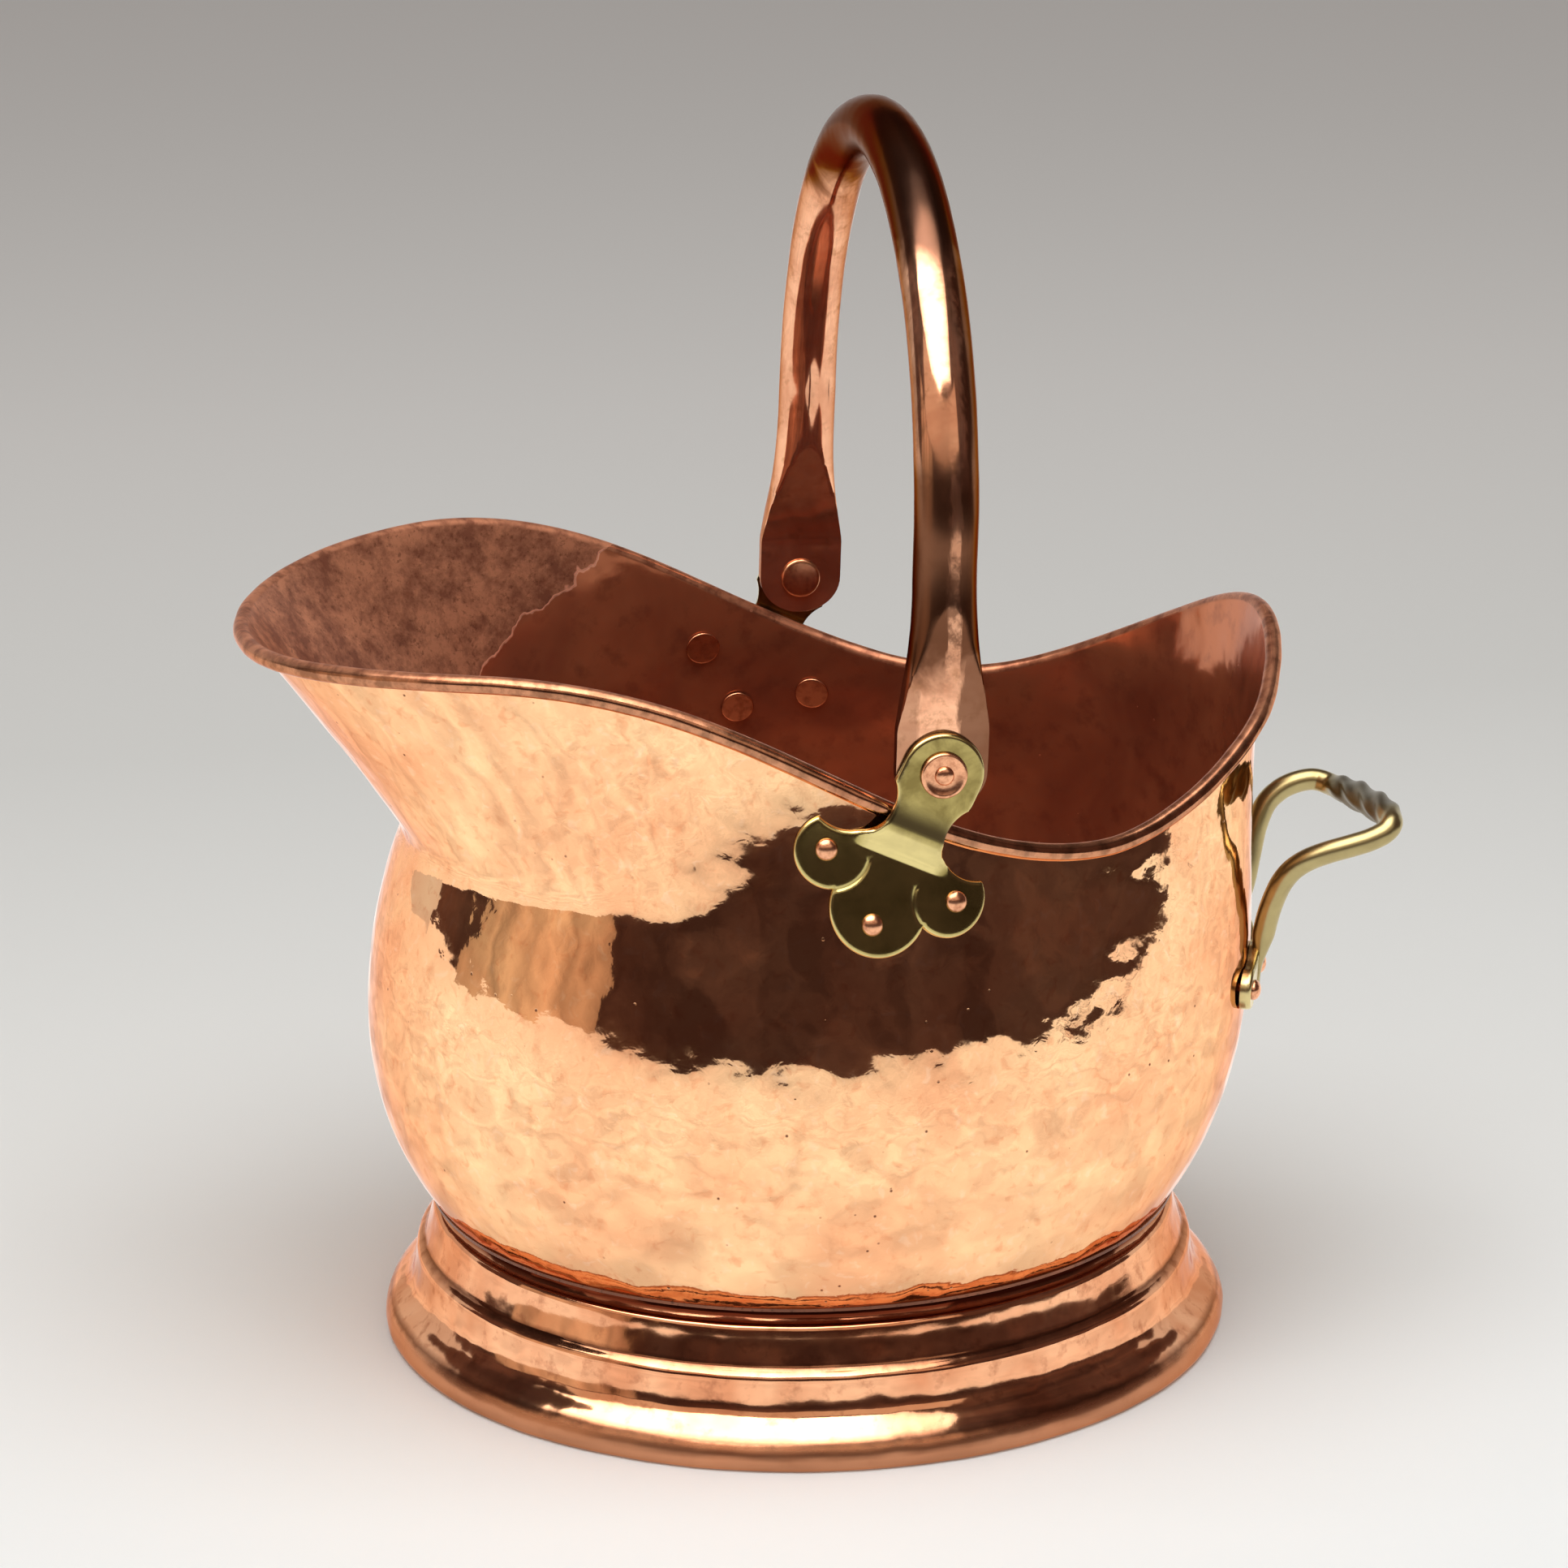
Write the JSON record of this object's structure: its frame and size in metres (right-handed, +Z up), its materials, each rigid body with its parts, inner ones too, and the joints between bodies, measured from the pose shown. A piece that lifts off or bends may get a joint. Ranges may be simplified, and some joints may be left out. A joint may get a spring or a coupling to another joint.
{
  "type": "coal scuttle",
  "caption": "Helmet-shaped coal scuttle of beaten sheet copper with a wide pouring lip, round foot, hinged tube bail, brass ear brackets and a small brass back handle.",
  "frame": {"origin": "on the floor, under the middle of the round foot", "axes": "+X towards the pouring lip, +Y towards the scuttle's left, +Z up"},
  "size_m": [0.3817, 0.2888, 0.4159],
  "materials": {
    "copper_body": "polished, hammered, worn",
    "copper_foot": "polished, with tarnished grooves",
    "copper_bail": "worn polish over brown tarnish",
    "copper_rivet": "polished",
    "brass_fitting": "worn polish with bright edges",
    "iron_wire": "dull, hidden in the rolled beads"
  },
  "bodies": {
    "scuttle": {"body_sheet": "copper_body", "spout_sheet": "copper_body", "rim_wire": "iron_wire", "bottom_plate": "copper_foot", "foot_ring": "copper_foot", "foot_wire": "iron_wire", "bracket_left": "brass_fitting", "bracket_right": "brass_fitting", "bracket_rivets_left": "copper_rivet", "bracket_rivets_right": "copper_rivet", "pivot_rivet_left": "copper_rivet", "pivot_rivet_right": "copper_rivet", "pivot_washer_left": "copper_rivet", "pivot_washer_right": "copper_rivet", "rear_handle": "brass_fitting", "rear_handle_rivets_left": "copper_rivet", "rear_handle_rivets_right": "copper_rivet"},
    "bail": {"bail_handle": "copper_bail"}
  },
  "joints": [
    {"name": "bail_swing", "type": "hinge", "parent": "scuttle", "child": "bail", "pos_m": [-0.023, 0, 0.226], "axis": [0, 1, 0], "range_deg": [-97, 69]}
  ]
}
